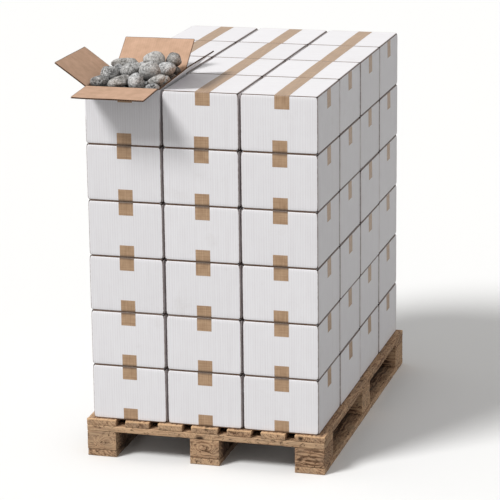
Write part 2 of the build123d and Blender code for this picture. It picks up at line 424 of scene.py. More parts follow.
def makeKraftLiner():
    # plain brown kraft inside the carton: matt, with fibres and the flutes showing through
    material, add, shader = startMaterial("brownKraftLiner", 0.85, 0.25)
    place = add("TexCoord").outputs["Object"]
    _, turns = fluteTurns(add)
    wave = add("Math", {"operation": "SINE"}, {0: turns})
    blotches = add("TexNoise", {"Scale": 34.0, "Detail": 7.0, "Roughness": 0.68}, {"Vector": place})
    lift = add("Math", {"operation": "MULTIPLY_ADD", 1: 0.035}, {0: wave, 2: blotches})
    tone = add("ValToRGB", {"ramp": [(0.3, carton["kraftDark"]), (0.68, carton["kraft"])]}, {"Fac": lift})
    specks = add("TexNoise", {"Scale": 520.0, "Detail": 4.0, "Roughness": 0.8}, {"Vector": place})
    speckMask = add("MapRange", {"From Min": 0.6, "From Max": 0.72, "To Max": 0.35}, {"Value": specks})
    speckled = add("Mix", {"data_type": "RGBA", 7: carton["fluting"]}, {0: speckMask, 6: tone})
    near = readMarks(add)       # x is how near a flap's cut edge
    darkened = add("Mix", {"data_type": "RGBA", 7: carton["kraftEdge"]}, {0: near.outputs["X"], 6: speckled})
    connect(shader, {"Base Color": darkened})
    height = add("Math", {"operation": "MULTIPLY_ADD", 1: 0.25}, {0: wave, 2: specks})
    bump = add("Bump", {"Strength": 0.3, "Distance": 0.1 * mm}, {"Height": height})
    connect(shader, {"Normal": bump})
    return material


def makeCutEdge():
    # the sawn-through edge of corrugated board: two liners with a wave of fluting between holes painted dark
    # as their shade
    material, add, shader = startMaterial("corrugatedCutEdge", 0.92, 0.2)
    _, turns = fluteTurns(add)
    wave = add("Math", {"operation": "SINE"}, {0: turns})
    holes = add("Math", {"operation": "ABSOLUTE"}, {0: wave})
    place = add("TexCoord").outputs["Object"]
    crushed = add("TexNoise", {"Scale": 240.0, "Detail": 3.0}, {"Vector": place})
    mixed = add("Math", {"operation": "MULTIPLY"}, {0: holes, 1: crushed})
    # painted shade: the flute holes are drawn near black
    tone = add("ValToRGB", {"ramp": [(0.12, carton["fluting"]), (0.5, carton["fluteHoleShade"])]}, {"Fac": mixed})
    connect(shader, {"Base Color": tone})
    bump = add("Bump", {"Strength": 0.6, "Distance": 0.5 * mm, "invert": True}, {"Height": mixed})
    connect(shader, {"Normal": bump})
    return material


whiteLiner, kraftLiner, cutEdge = makeWhiteLiner(), makeKraftLiner(), makeCutEdge()


def swell(a, b, amount):
    # how far a filled panel stands out, a and b from -1 to 1 across it
    return amount * np.clip(1 - a * a, 0, 1) * np.clip(1 - b * b, 0, 1)


def cornerOpenings(cube):
    # 1 at a carton's corners, down to 0 where their openings end
    away = np.linalg.norm(cartonHalf - abs(cube), axis=1)
    return np.clip(1 - away / carton["cornerOpening"], 0, 1)


def cartonPoints(cube, swells, hasTop):
    # folds, grooves and bulges of one carton, from the points of the plain block
    half = cartonHalf
    reach = abs(cube)
    way = np.sign(cube)
    onFace = np.isclose(reach, half)
    across = cube / half
    closed = (way[:, 2] < 0) | hasTop
    fromEnd = half[2] - reach[:, 2]
    points = cube.copy()
    side = np.where(way[:, 0] > 0, swells["right"], swells["left"])
    points[:, 0] += np.where(onFace[:, 0], way[:, 0] * swell(across[:, 1], across[:, 2], side), 0)
    end = np.where(way[:, 1] > 0, swells["back"], swells["front"])
    points[:, 1] += np.where(onFace[:, 1], way[:, 1] * swell(across[:, 0], across[:, 2], end), 0)
    top = onFace[:, 2] & (way[:, 2] > 0)
    points[:, 2] += np.where(top, swell(across[:, 0], across[:, 1], swells["top"]), 0)

    def roundOff(a, b, radius, where):
        over = reach - half + radius
        where = where & (over[:, a] > 1e-7) & (over[:, b] > 1e-7)
        length = np.hypot(over[:, a], over[:, b])
        for k in (a, b):
            curved = way[:, k] * (half[k] - radius + radius * over[:, k] / np.maximum(length, 1e-9))
            points[:, k] = np.where(where, curved, points[:, k])

    roundOff(0, 1, carton["uprightFold"], (fromEnd > 0.99 * carton["flapEdge"]) | ~closed)
    roundOff(0, 2, carton["flapFold"], closed)
    # the outer flaps' cut edges lie back a little, and the panel's own fold starts below them
    edge, groove = carton["flapEdge"], carton["foldGroove"]
    depths = [carton["cutEdgeInset"], carton["cutEdgeInset"], groove, 0.5 * groove, 0.17 * groove, 0]
    inset = np.interp(fromEnd, [0] + [edge + gap for gap in edgeGaps], depths)
    points[:, 1] -= np.where(onFace[:, 1] & closed, way[:, 1] * inset, 0)
    points -= way * (cornerOpenings(cube) * closed * carton["cornerDepth"])[:, None]
    return points


uprightStops = [0, 0.5 * carton["uprightFold"], carton["uprightFold"]]
flapStops = [0.5 * carton["flapFold"], carton["flapFold"]]
edgeGaps = (-0.3 * mm, 0, 0.6 * mm, 1.6 * mm, 3.4 * mm)       # where the surface turns near a cut edge
edgeStops = [carton["flapEdge"] + gap for gap in edgeGaps]
cartonStops = (stops(cartonHalf[0], uprightStops + flapStops + [6 * mm, 12 * mm], 5),
               stops(cartonHalf[1], uprightStops + [4.5 * mm, 10 * mm], 7),
               stops(cartonHalf[2], [0, 1.2 * mm, *flapStops, *edgeStops, 14 * mm], 4))
cartonGrid = blockGrid(*cartonStops)


def cartonFinish(cube, faces, sides):
    # 1 where the outer flaps' cut edges show at the front and the back, else 0
    middle = cube[faces].mean(1)
    nearEnd = cartonHalf[2] - abs(middle[:, 2]) < carton["flapEdge"] + 0.1 * mm
    return np.where((sides[:, 0] == 1) & nearEnd, 1, 0)


def foldMarks(cube, ownShade, place):
    # x is how cracked the fold is, above 1 the painted shade of corner holes and of edges where four cartons
    # meet; y the carton's own shade; z dirt and painted shade near its edges, strongest in the gaps between
    # cartons
    near = [np.clip(1 - (cartonHalf[k] - abs(cube[:, k])) / r, 0, 1)
            for k, r in ((0, carton["flapFold"]), (1, carton["uprightFold"]), (2, carton["flapFold"]))]
    crackedAndShaded = np.maximum(np.clip(3.4 * near[0] * near[2], 0, 0.9), 0.7 * near[0] * near[1])
    # the corner holes lift this above 1, for their painted shade
    crackedAndShaded = np.minimum(crackedAndShaded, 0.9) + 2.0 * cornerOpenings(cube)
    onFace = np.isclose(abs(cube), cartonHalf)
    fromEnd = cartonHalf[1] - abs(cube[:, 1])
    inGap = np.sign(cube[:, 0]) * place[0] < 0.5 * columnPitch
    # where four cartons meet their upright edges are in the dark
    betweenFour = inGap & (np.sign(cube[:, 1]) * place[1] < rowPitch)
    crackedAndShaded = np.where(betweenFour, np.maximum(crackedAndShaded, 1.2 * np.minimum(2 * near[0] * near[1], 1)), crackedAndShaded)
    # painted shade: the sides are darkened in the gaps between cartons, and the tops and bottoms near the
    # joints; on the outer sides near the edges it is dirt and painted shade
    sideDirtAndShade = np.where(inGap, carton["gapShade"] - fromEnd / (60 * mm), 1 - fromEnd / (11 * mm))
    darkening = np.where(onFace[:, 0], sideDirtAndShade, np.where(onFace[:, 2], 1.3 - fromEnd / (4 * mm), 0))
    return np.stack([crackedAndShaded, np.full(len(cube), ownShade), np.clip(darkening, 0, 1.3)], 1)


def cartonPlaces(layer):
    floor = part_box(f"cartons_layer_{layer}")[0].z
    places = [(x, y) for y in rowPlaces for x in columnPlaces]
    if layer == layerCount:
        places = places[1:]       # the open carton stands at the front left
    return [np.array([x, y, floor + cartonHalf[2]]) for x, y in places]


def cartonSwells(layer, place):
    # the same carton always bulges and stands the same way, so its tape can follow it
    dice = random.Random(f"{layer} {place[0]:.2f} {place[1]:.2f}")
    panels = ("front", "back", "left", "right")
    swells = {side: carton["panelBulge"] * dice.uniform(0.5, 1.0) for side in panels}
    swells["top"] = carton["topBulge"] * dice.uniform(0.6, 1.0) if layer == layerCount else 0.0
    shade = dice.random()
    nudge = np.array([dice.uniform(-1, 1), dice.uniform(-0.6, 0.6), 0]) * carton["nudge"]
    if np.allclose(place, openMiddle, atol=1e-4):
        nudge = nudge * 0         # the open carton's folds keep to their axes
    return swells, shade, nudge


def makeCartons():
    cube, faces, maps, sides = cartonGrid
    finish = cartonFinish(cube, faces, sides)
    for layer in range(1, layerCount + 1):
        parts = newParts()
        for place in cartonPlaces(layer):
            swells, ownShade, nudge = cartonSwells(layer, place)
            points = cartonPoints(cube, swells, True) + place + nudge
            ownMap = maps + place[0] * 3 + place[1]
            addPart(parts, points, faces, ownMap, finish, foldMarks(cube, ownShade, place))
        makePiece(f"closedCartonsLayer{layer}", parts, [whiteLiner, cutEdge], "load",
                  [f"cartons_layer_{layer}"])
    print("closed cartons made")


makeCartons()


# ---- brown packing tape

tape = {
    "bend": 3.2 * mm,      # where it turns over the carton's edge
    "thickness": 0.22 * mm,
    "lift": 0.03 * mm,
    "wobble": 0.9 * mm,    # how unevenly the ends and edges were laid
    "brown": "#BC9D7E",
    "brownDark": "#98785A",
    # painted shade in the joints between stacked cartons
    "seamShade": "#33241B",
    "brownTopSheen": "#CDBBAA",
    "sheen": 0.42,
    "topSheen": 0.15,         # painted sheen: how far the strips on the top are paled toward the sky's reflection
}


def makePackingTape():
    # reinforced brown paper tape: fine threads along its length and a slight shine, with painted shade in the
    # joints and a painted sheen on the top strips
    material, add, shader = startMaterial("brownPaperTape", 0.45)
    uv = add("UVMap", {"uv_map": "boardMap"})
    # threads are under 1 mm apart, drawn about 4 mm so that they show
    stretched = add("Mapping", {"Scale": (260.0, 9.0, 1.0)}, {"Vector": uv})
    threads = add("TexNoise", {"Scale": 1.0, "Detail": 3.0, "Roughness": 0.6}, {"Vector": stretched})
    crosswise = add("Mapping", {"Scale": (14.0, 230.0, 1.0)}, {"Vector": uv})
    weft = add("TexNoise", {"Scale": 1.0, "Detail": 3.0, "Roughness": 0.6}, {"Vector": crosswise})
    woven = add("Math", {"operation": "MULTIPLY_ADD", 1: 0.7}, {0: weft, 2: threads})
    place = add("TexCoord").outputs["Object"]
    cloudy = add("TexNoise", {"Scale": 45.0, "Detail": 5.0}, {"Vector": place})
    both = add("Math", {"operation": "MULTIPLY_ADD", 1: 0.6}, {0: cloudy, 2: woven})
    tone = add("MapRange", {"From Min": 0.88, "From Max": 1.42}, {"Value": both})
    colour = add("Mix", {"data_type": "RGBA", 6: tape["brownDark"], 7: tape["brown"]}, {0: tone})
    deep = readMarks(add)       # x is how deep in a joint the tape is, for its painted shade; y the painted sheen on the top strips
    jointed = add("Mix", {"data_type": "RGBA", 7: tape["seamShade"]}, {0: deep.outputs["X"], 6: colour})
    topped = add("Mix", {"data_type": "RGBA", 7: tape["brownTopSheen"]}, {0: deep.outputs["Y"], 6: jointed})
    connect(shader, {"Base Color": topped})
    bump = add("Bump", {"Strength": 0.25, "Distance": 0.08 * mm}, {"Height": both})
    connect(shader, {"Normal": bump})
    rough = add("MapRange", {"To Min": tape["sheen"] - 0.08, "To Max": tape["sheen"] + 0.12},
                {"Value": cloudy})
    connect(shader, {"Roughness": rough})
    return material


tapeFinish = makePackingTape()


def seamStrip(parts, place, swells, onTop, offset, width, tabLength, dice, jointShade):
    # tape along a seam, with its two ends turned onto the front and back faces
    halfX, halfY, halfZ = cartonHalf
    way = 1 if onTop else -1
    bend = tape["bend"]
    tabFront, tabBack = (tabLength + dice.uniform(-1, 1) * tape["wobble"] for _ in range(2))
    slant = dice.uniform(-1, 1) * tape["wobble"] / halfY
    across = np.linspace(-width / 2, width / 2, 7)
    swells = {**swells, "bend": 0.0, "top": swells["top"] if onTop else 0.0}

    def bendRows(side, angles):
        turned = [(math.cos(a), math.sin(a)) for a in map(math.radians, angles)]
        return [(side * (halfY - bend * (1 - c)), -bend * (1 - s), (side * c, s), "bend") for c, s in turned]

    # the way it goes: how far back, how high, which way is out, and on what part
    path = [(-halfY, h, (-1, 0), "front") for h in np.linspace(-tabFront, -bend, 7)]
    path += bendRows(-1, (30, 60))
    path += [(y, 0.0, (0, 1), "top") for y in np.linspace(-halfY + bend, halfY - bend, 22)]
    path += bendRows(1, (60, 30))
    path += [(halfY, h, (1, 0), "back") for h in np.linspace(-bend, -tabBack, 7)]

    def sheet(above):
        rows = []
        for y, h, (outY, outZ), part in path:
            x, z = offset + across + slant * y, halfZ + h
            share = y / halfY if part == "top" else z / halfZ
            out = swell(x / halfX, share, swells[part]) + tape["lift"] + above
            rows.append(np.stack([x, y + outY * out, way * (z + outZ * out)], 1))
        return np.array(rows)[:, ::way] + place

    # painted shade: the tape is darkened where it runs into the joints between stacked cartons
    inJoint = {"bend": 1.0, "top": 0.0}
    darkening = [jointShade * inJoint.get(part, 0.8 * (h > -1.03 * bend)) for _, h, _, part in path]
    # painted sheen on the strips that run over the cartons' tops
    topSheen = [tape["topSheen"] * (onTop and part == "top") for _, _, _, part in path]
    addStrip(parts, sheet(tape["thickness"]), sheet(0), darkening, topSheen)


def wallStrip(parts, axis, side, panelSwell, across, heights, place):
    # tape flat on a wall that faces along an axis: its places across, and its heights in each
    inner = np.zeros((*np.shape(heights), 3))
    for i, row in enumerate(heights):
        out = swell(across / cartonHalf[1 - axis], row / cartonHalf[2], panelSwell) + tape["lift"]
        inner[i, :, axis] = side * (cartonHalf[axis] + out)
        inner[i, :, 1 - axis] = across
        inner[i, :, 2] = row
    push = np.eye(3)[axis] * side * tape["thickness"]
    addStrip(parts, inner + push + place, inner + place)


def addStrip(parts, outer, inner, darkening=None, topSheen=None):
    # a strip's map runs across it and along it, in metres; the painted joint shade and the painted top sheen
    # have a value a row
    rows, cols = outer.shape[:2]
    points, faces, finish = slab(outer, inner)
    steps = np.linalg.norm(np.diff(outer[:, 0], axis=0), axis=1)
    along = np.concatenate([[0], np.cumsum(steps)])
    across = np.linspace(0, np.linalg.norm(outer[0, -1] - outer[0, 0]), cols)
    flat = np.stack(np.meshgrid(across, along), -1).reshape(-1, 2) + outer[0, 0, :2] * 7
    flat = np.concatenate([flat, flat])
    marks = np.zeros((len(points), 3))
    if darkening is not None:
        marks[:, 0] = np.tile(np.repeat(darkening, cols), 2)
        marks[:, 1] = np.tile(np.repeat(topSheen, cols), 2)
    addPart(parts, points, faces, flat[faces], 0, marks)


def makeSeamTapes():
    for layer in range(1, layerCount + 1):
        for onTop in (True, False):
            node = f"{'top' if onTop else 'bottom'}_tapes_layer_{layer}"
            low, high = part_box(node)
            width = high.x - low.x - 2 * columnPitch
            offset = (high.x + low.x) / 2
            parts = newParts()
            places = cartonPlaces(layer)
            if layer == layerCount and not onTop:
                places.append(openMiddle)
            for place in places:
                swells, _, nudge = cartonSwells(layer, place)
                dice = random.Random(f"{node} {place[0]:.2f} {place[1]:.2f}")
                jointShade = 0.15 if onTop and layer == layerCount else 0.85
                seamStrip(parts, place + nudge, swells, onTop, offset, width, high.z - low.z, dice, jointShade)
            makePiece(f"{'top' if onTop else 'bottom'}SeamTapesLayer{layer}", parts, [tapeFinish], "load",
                      [node])
    print("seam tapes made")


def makeSideTabs():
    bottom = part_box("side_tape_tabs")[0].z - layerLow.z - cartonHalf[2]
    top = cartonHalf[2] - carton["flapFold"]
    parts = newParts()
    for layer in range(1, layerCount + 1):
        for place in cartonPlaces(layer):
            for side, face in ((-1, "left"), (1, "right")):
                if not np.isclose(place[0], side * columnPitch):
                    continue
                swells, _, nudge = cartonSwells(layer, place)
                dice = random.Random(f"tab {layer} {side} {place[1]:.2f}")
                slant = dice.uniform(-1, 1) * tape["wobble"]
                heights = np.linspace(bottom + dice.uniform(-1, 1) * tape["wobble"], top, 9)
                heights = np.repeat(heights[:, None], 7, 1)
                widths = np.linspace(-tapeWidth / 2, tapeWidth / 2, 7) * side + slant
                wallStrip(parts, 0, side, swells[face], widths, heights, place + nudge)
    makePiece("sideTapeTabs", parts, [tapeFinish], "load", ["side_tape_tabs"])
    print("side tabs made")


makeSeamTapes()
makeSideTabs()


# ---- the open carton and its four flaps

opened = {
    "liner": 0.6 * mm,
    "medium": 0.35 * mm,
    "warp": 1.6 * mm,            # how far a flap curls at its free end
    "foldSlack": 0.15 * mm,
    "stepsAFlute": 8,
    "tapeDrop": 6.0 * mm,        # the cut tape ends this far below the rim
    "tear": 1.5 * mm,
    "endTabShorter": 14 * mm,    # than the tab on the side
    "darkBorder": 2.6 * mm,       # how wide the darker border along a flap's edges is
}


def makeOpenCarton():
    parts = newParts()
    cube, faces, maps, sides = cartonGrid
    swells, shade, _ = cartonSwells(layerCount, openMiddle)
    swells = {**swells, "top": 0.0}
    finish = cartonFinish(cube, faces, sides)
    finish = np.where((finish == 1) & (cube[faces].mean(1)[:, 2] > 0), 0, finish)
    walls = ~((sides[:, 0] == 2) & (sides[:, 1] == 1))
    outer = cartonPoints(cube, swells, False)
    # the inside is the same grid drawn in by one board, and faces the other way
    hollow = cube * (cartonHalf - carton["board"]) / cartonHalf
    hollow[:, 2] = np.where(cube[:, 2] > cartonHalf[2] - 1e-7, cartonHalf[2], hollow[:, 2])
    points = np.concatenate([outer, hollow]) + openMiddle
    back = len(cube)
    index = {tuple(np.round(p, 6)): i for i, p in enumerate(cube)}
    xs, ys, top = cartonStops[0], cartonStops[1], cartonHalf[2]
    ring = [(x, ys[0]) for x in xs] + [(xs[-1], y) for y in ys[1:]]
    ring += [(x, ys[-1]) for x in xs[-2::-1]] + [(xs[0], y) for y in ys[-2:0:-1]]
    ring = [index[tuple(np.round((x, y, top), 6))] for x, y in ring]
    rim = np.array([(a, b, back + b, back + a) for a, b in zip(ring, ring[1:] + ring[:1])])
    allFaces = np.concatenate([faces[walls], faces[walls][:, ::-1] + back, rim])
    rimMap = points[rim][:, :, :2].sum(2, keepdims=True) * np.array([1, 0])
    allMaps = np.concatenate([maps[walls], maps[walls][:, ::-1], rimMap])
    allFinish = np.concatenate([finish[walls], np.full(walls.sum(), 2), np.full(len(rim), 1)])
    marks = np.concatenate([foldMarks(cube, shade, openMiddle) * (cube[:, 2:] < 0), np.zeros((back, 3))])
    marks[:, 1] = shade
    addPart(parts, points, allFaces, allMaps, allFinish, marks)
    makePiece("openCartonWalls", parts, [whiteLiner, cutEdge, kraftLiner], "load",
              ["open_carton"])

    strips = newParts()
    low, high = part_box("open_carton_tape_tabs")
    topLow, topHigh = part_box(f"top_tapes_layer_{layerCount}")
    offset = (topLow.x + topHigh.x) / 2
    endLength = high.z - low.z - opened["endTabShorter"]
    for side, face in ((-1, "front"), (1, "back")):
        cutStrip(strips, offset, side, face, swells, 1, endLength)
    cutStrip(strips, 0.0, -1, "left", swells, 0, high.z - low.z)
    makePiece("cutTapeEnds", strips, [tapeFinish], "load", ["open_carton_tape_tabs"])
    print("open carton made")


def cutStrip(parts, offset, side, face, swells, axis, length):
    # tape left on a wall when the carton was cut open, with a torn top edge
    dice = random.Random(f"cut {face}")
    top = cartonHalf[2] - opened["tapeDrop"]
    across = np.linspace(-tapeWidth / 2, tapeWidth / 2, 13) * (side if axis == 0 else -side)
    torn = np.array([dice.uniform(0, 1) * opened["tear"] for _ in across])
    heights = np.linspace(top - length, top - torn, 9)
    wallStrip(parts, axis, side, swells[face], offset + across, heights, openMiddle)


def flapFrame(side):
    # where a flap's fold is, the ways along, across and out of its inner face, and its sizes
    joint = next(j for j in frame["joints"] if j["child"] == f"flap_{side}")
    hinge, axis = np.array(joint["pos_m"]), np.array(joint["axis"])
    angle = math.radians(90 - joint["range_deg"][1])
    outward = np.cross(axis, (0, 0, -1))
    outward = outward * np.sign(outward @ (hinge - openMiddle))
    up = np.array([0, 0, 1.0])
    along = outward * math.cos(angle) + up * math.sin(angle)
    normal = up * math.cos(angle) - outward * math.sin(angle)
    across = np.cross(normal, along)
    corners = np.array([v.co for v in frame["nodes"][f"flap_{side}"].data.vertices]) - hinge
    sizes = [(corners @ way).min() for way in (along, across, normal)]
    sizes += [(corners @ way).max() for way in (along, across, normal)]
    return hinge, outward, along, across, normal, np.array(sizes).reshape(2, 3)


def makeFlap(side):
    hinge, _, along, across, normal, (low, high) = flapFrame(side)
    dice = random.Random(f"flap {side}")
    length, half, board = high[0], high[1], high[2]
    curl = -opened["warp"] * dice.uniform(0.5, 1.0)
    if side == "right":
        curl = -0.3 * curl      # it hangs close over its neighbour
    corner = 2.0 * mm

    def at(s, t, n):
        # s from the fold to the free end, t from -1 to 1 across, n through the board
        share = s / length
        bent = curl * share ** 2 * (0.75 + 0.25 * t) + 0.4 * mm * math.sin(5 * t + share) * share
        narrow = corner - math.sqrt(max(corner ** 2 - max(s - length + corner, 0) ** 2, 0))
        return hinge + along * s + across * (half - narrow) * t + normal * (n + max(min(bent, 0), -2 * mm))

    parts = newParts()
    rows = [low[0]] + list(np.linspace(6 * mm, length - corner, 12)) + [length - 0.4 * corner, length]
    border = 1 - opened["darkBorder"] / half
    columns = [-1, *np.linspace(-border, border, 25), 1]
    darkening = np.array([[max(0.8 * (abs(t) == 1), 1.0 * (s > length - corner)) for t in columns] for s in rows])
    marks = np.zeros((2 * darkening.size, 3))
    marks[:, 0] = np.tile(darkening.ravel(), 2)
    liner, medium = opened["liner"], opened["medium"]
    for bottom in (0.0, board - liner):
        # inside is kraft on both sides of its liner, outside has the white coat
        upper = np.array([[at(s, t, bottom + liner) for t in columns] for s in rows])
        lower = np.array([[at(s, t, bottom) for t in columns] for s in rows])
        points, faces, finish = slab(upper, lower)
        kinds = np.array([1, 0 if bottom == 0 else 1, 2])[finish]
        flat = np.array([[half * t, s] for s in rows for t in columns])
        addPart(parts, points, faces, np.concatenate([flat, flat])[faces], kinds, marks)
    # the fluted layer between the liners, with its waves open at the free end
    waves = round(2 * half / carton["fluteStep"])
    steps = np.linspace(-1, 1, waves * opened["stepsAFlute"] + 1)
    height = board / 2 - liner - medium / 2
    crest = board / 2 + height * np.sin((steps + 1) * math.pi * waves)
    inset = 0.5 * mm
    depth = [low[0]] + list(np.linspace(20 * mm, length - inset, 5))
    upper = np.array([[at(s, t * 0.997, c + medium / 2) for t, c in zip(steps, crest)] for s in depth])
    lower = np.array([[at(s, t * 0.997, c - medium / 2) for t, c in zip(steps, crest)] for s in depth])
    points, faces, finish = slab(upper, lower)
    addPart(parts, points, faces, None, 2)
    makePiece(f"{side}Flap", parts, [whiteLiner, kraftLiner, rawFluting], f"flap_{side}",
              [f"flap_{side}"])


def makeFlapFold(side):
    # the scored fold between a wall and its flap, curved round like the spine of a book
    hinge, outward, _, across, normal, (_, high) = flapFrame(side)
    reach = high[2] - opened["foldSlack"]
    turn = math.acos(max(-1, min(1, float(-outward @ normal))))
    up = np.array([0, 0, 1.0])
    angles = np.linspace(0, turn, 11)
    widths = np.linspace(-high[1], high[1], 19)
    arc = [-outward * math.cos(a) + up * math.sin(a) for a in angles]
    ridge = [1 - 0.02 * math.sin(7 * math.pi * k / 10) for k in range(11)]
    outer = np.array([[hinge + across * w + way * reach * r for w in widths] for way, r in zip(arc, ridge)])
    inner = np.array([[hinge + across * w + way * 0.3 * mm for w in widths] for way in arc])
    points, faces, finish = slab(outer, inner)
    parts = newParts()
    flat = np.array([[w, a * reach] for a in angles for w in widths])
    addPart(parts, points, faces, np.concatenate([flat, flat])[faces], np.array([0, 1, 1])[finish])
    fold = makePiece(f"{side}FlapFold", parts, [kraftLiner, cutEdge], None)
    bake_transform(fold)


def makeRawFluting():
    # unbleached fluting paper between the liners, rough and darker than the kraft
    material, add, shader = startMaterial("rawFlutingPaper", 0.95, 0.15)
    place = add("TexCoord").outputs["Object"]
    fibres = add("TexNoise", {"Scale": 300.0, "Detail": 5.0, "Roughness": 0.7}, {"Vector": place})
    colour = add("Mix", {"data_type": "RGBA", 6: carton["flutingDark"], 7: carton["fluting"]}, {0: fibres})
    connect(shader, {"Base Color": colour})
    bump = add("Bump", {"Strength": 0.4, "Distance": 0.1 * mm}, {"Height": fibres})
    connect(shader, {"Normal": bump})
    return material


rawFluting = makeRawFluting()
makeOpenCarton()
for flapSide in ("left", "right", "front", "back"):
    makeFlap(flapSide)
    makeFlapFold(flapSide)
print("flaps made")


# ---- granite cobbles

cobbles = {
    "facets": (7, 11),          # how many flats wear has left on each
    "facetDepth": 0.09,
    "roughness": 0.022,         # pits, as a share of a stone's size
    "fillerGrid": (6, 7, 2),    # the lower ones: how many across, along and deep
    "fillerSize": 0.44,         # of the carton's inner width, over four stones
    "settle": 6 * mm,
    "swell": 1.05,
    "fillerRise": 7 * mm,       # how far they press up between the ones above
    "fillerShade": 0.9,         # painted shade: how much darker the lower ones are drawn, as if deep among the stones
    "pale": "#E3E4E4",
    "mid": "#A6A7A7",
    "dark": "#404143",
    "speck": "#3B3A3A",
    "underside": "#24211F",
    "warm": "#B9AE9E",
}


def makeCobbleStone():
    # tumbled granite: matt pale grey with dark grains, pits, a warm dusting and painted shade on the
    # undersides
    material, add, shader = startMaterial("tumbledGranite", 0.88, 0.3)
    place = add("TexCoord").outputs["Object"]
    own = readMarks(add)        # x is its own shade, y its dust, z how high a place is on it, for the painted shade below
    # grains are 2 to 4 mm in the real stone, drawn 5 to 6 mm so that they show
    grains = add("TexNoise", {"Scale": 175.0, "Detail": 5.0, "Roughness": 0.8, "Distortion": 0.8},
                 {"Vector": place})
    cells = add("TexVoronoi", {"Scale": 200.0, "Randomness": 1.0}, {"Vector": place})
    bands = add("TexNoise", {"Scale": 38.0, "Detail": 3.0, "Distortion": 1.2}, {"Vector": place})
    mixed = add("Math", {"operation": "MULTIPLY_ADD", 1: 0.35}, {0: bands, 2: grains})
    shaded = add("Math", {"operation": "MULTIPLY_ADD", 1: 0.05}, {0: own.outputs["X"], 2: mixed})
    tone = add("ValToRGB", {"ramp": [(0.55, cobbles["dark"]), (0.66, cobbles["mid"]),
                                     (0.8, cobbles["pale"])]}, {"Fac": shaded})
    specks = add("MapRange", {"From Min": 0.14, "From Max": 0.32, "To Min": 0.8, "To Max": 0.0},
                 {"Value": cells})
    speckled = add("Mix", {"data_type": "RGBA", 7: cobbles["speck"]}, {0: specks, 6: tone})
    dust = add("Math", {"operation": "MULTIPLY"}, {0: own.outputs["Y"], 1: bands})
    dusted = add("Mix", {"data_type": "RGBA", 7: cobbles["warm"]}, {0: dust, 6: speckled})
    # painted shade: the lower part of each stone is darkened toward near black
    lower = add("MapRange", {"From Min": 0.1, "From Max": -0.75, "To Max": 0.8}, {"Value": own.outputs["Z"]})
    shadedUnderside = add("Mix", {"data_type": "RGBA", 7: cobbles["underside"]}, {0: lower, 6: dusted})
    connect(shader, {"Base Color": shadedUnderside})
    height = add("Math", {"operation": "MULTIPLY_ADD", 1: 0.5}, {0: cells, 2: grains})
    bump = add("Bump", {"Strength": 1.0, "Distance": 2.6 * mm}, {"Height": height})
    connect(shader, {"Normal": bump})
    return material


def ball(levels):
    # points and faces of a round ball with even triangles
    mesh = bpy.data.meshes.new("ball")
    shape = bmesh.new()
    bmesh.ops.create_icosphere(shape, subdivisions=levels, radius=1.0)
    shape.to_mesh(mesh)
    shape.free()
    points = np.array([v.co for v in mesh.vertices])
    faces = np.array([p.vertices[:] for p in mesh.polygons])
    bpy.data.meshes.remove(mesh)
    return points, faces


def tumbled(round_, dice):
    # a round stone worn to a few soft flats, with low bumps and pits; it stays inside the ball
    flats = dice.randint(*cobbles["facets"])
    ways = np.array([Vector([dice.gauss(0, 1) for _ in range(3)]).normalized() for _ in range(flats)])
    heights = np.array([1 - cobbles["facetDepth"] * dice.random() for _ in range(flats)])
    sharp = 12
    pull = (np.clip(round_ @ ways.T, 0, None) / heights) ** sharp
    radius = (0.35 + pull.sum(1)) ** (-1 / sharp)
    seat = Vector([dice.uniform(-50, 50) for _ in range(3)])
    low = np.array([noise.fractal(Vector(p) * 1.6 + seat, 1.0, 2.0, 3) for p in round_])
    pits = np.array([noise.fractal(Vector(p) * 7.0 + seat, 0.9, 2.1, 4) for p in round_])
    radius *= 1 + 0.035 * low + cobbles["roughness"] * pits
    return round_ * (radius / radius.max())[:, None]


def solidsOf(node):
    # middle, turned axes and half sizes of each separate round solid of a node
    mesh = frame["nodes"][node].data
    points = np.array([v.co for v in mesh.vertices])
    keys, same = np.unique(np.round(points, 5), axis=0, return_inverse=True)
    same = same.ravel()
    group = np.arange(len(keys))
    links = np.array([same[list(e.vertices)] for e in mesh.edges])
    while True:
        lowest = group.copy()
        np.minimum.at(lowest, links[:, 0], group[links[:, 1]])
        np.minimum.at(lowest, links[:, 1], group[links[:, 0]])
        lowest = lowest[lowest]
        if (lowest == group).all():
            break
        group = lowest
    found = []
    for name in np.unique(group):
        own = keys[group == name]
        middle = (own.min(0) + own.max(0)) / 2
        x, y, z = (own - middle).T
        sums = np.stack([x * x, y * y, z * z, 2 * x * y, 2 * x * z, 2 * y * z], 1)
        a, b, c, d, e, f = np.linalg.lstsq(sums, np.ones(len(own)), rcond=None)[0]
        spread, turned = np.linalg.eigh(np.array([[a, d, e], [d, b, f], [e, f, c]]))
        found.append((middle, turned, 1 / np.sqrt(np.maximum(spread, 1e-9))))
    return found


def addCobble(parts, shape, middle, turned, half, seed, shaded=0.0):
    round_, faces = shape
    dice = random.Random(f"cobble {seed}")
    points = (tumbled(round_, dice) * half) @ turned.T + middle
    if np.linalg.det(turned) < 0:
        faces = faces[:, ::-1]
    marks = np.zeros((len(points), 3)) + (dice.uniform(-1, 1), dice.uniform(0.0, 0.45), 0)
    heights = points[:, 2] - middle[2]
    marks[:, 2] = heights / abs(heights).max() - shaded
    addPart(parts, points, faces, None, 0, marks)


